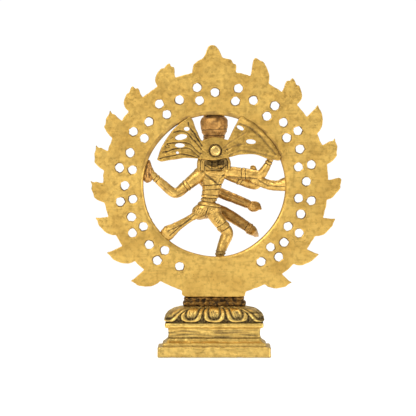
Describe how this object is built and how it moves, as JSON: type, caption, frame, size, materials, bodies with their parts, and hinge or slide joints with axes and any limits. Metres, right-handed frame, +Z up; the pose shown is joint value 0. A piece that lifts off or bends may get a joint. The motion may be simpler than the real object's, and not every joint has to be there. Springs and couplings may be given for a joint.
{
  "type": "dancing figure statue in a flame ring",
  "caption": "Brass statue of a four-armed dancing figure inside a flat pierced ring of flames, standing on a hollow stepped lotus pedestal.",
  "frame": {"origin": "middle of the pedestal's resting plane", "axes": "+Z up, the dancer faces -Y, the dancer's left hand side is +X and the plain back of the ring faces +Y"},
  "size_m": [0.1527, 0.05, 0.1898],
  "materials": {
    "filed_brass": "filed flat, lightly scratched, thin tarnish",
    "cast_brass": "cast and hand chased, dark in the recesses",
    "aged_brass": "cast, engraved, dark antique wash in the grooves",
    "dark_brass": "as cast, brown tarnish",
    "steel": "plain screw and washer"
  },
  "bodies": {
    "root": {"pedestal": "aged_brass", "neck_block": "dark_brass", "fixing_screw": "steel", "fixing_washer": "steel", "flame_ring": "filed_brass", "torso": "cast_brass", "standing_leg": "cast_brass", "raised_leg": "cast_brass", "rear_left_arm": "cast_brass", "rear_right_arm": "cast_brass", "front_left_arm": "cast_brass", "front_right_arm": "cast_brass", "hip_sash": "cast_brass", "elbow_tie": "cast_brass", "head": "cast_brass", "crown": "dark_brass", "hair_fan": "aged_brass", "hair_rivet": "filed_brass", "drum": "cast_brass", "palm_flame": "cast_brass", "dwarf": "cast_brass"}
  },
  "joints": []
}
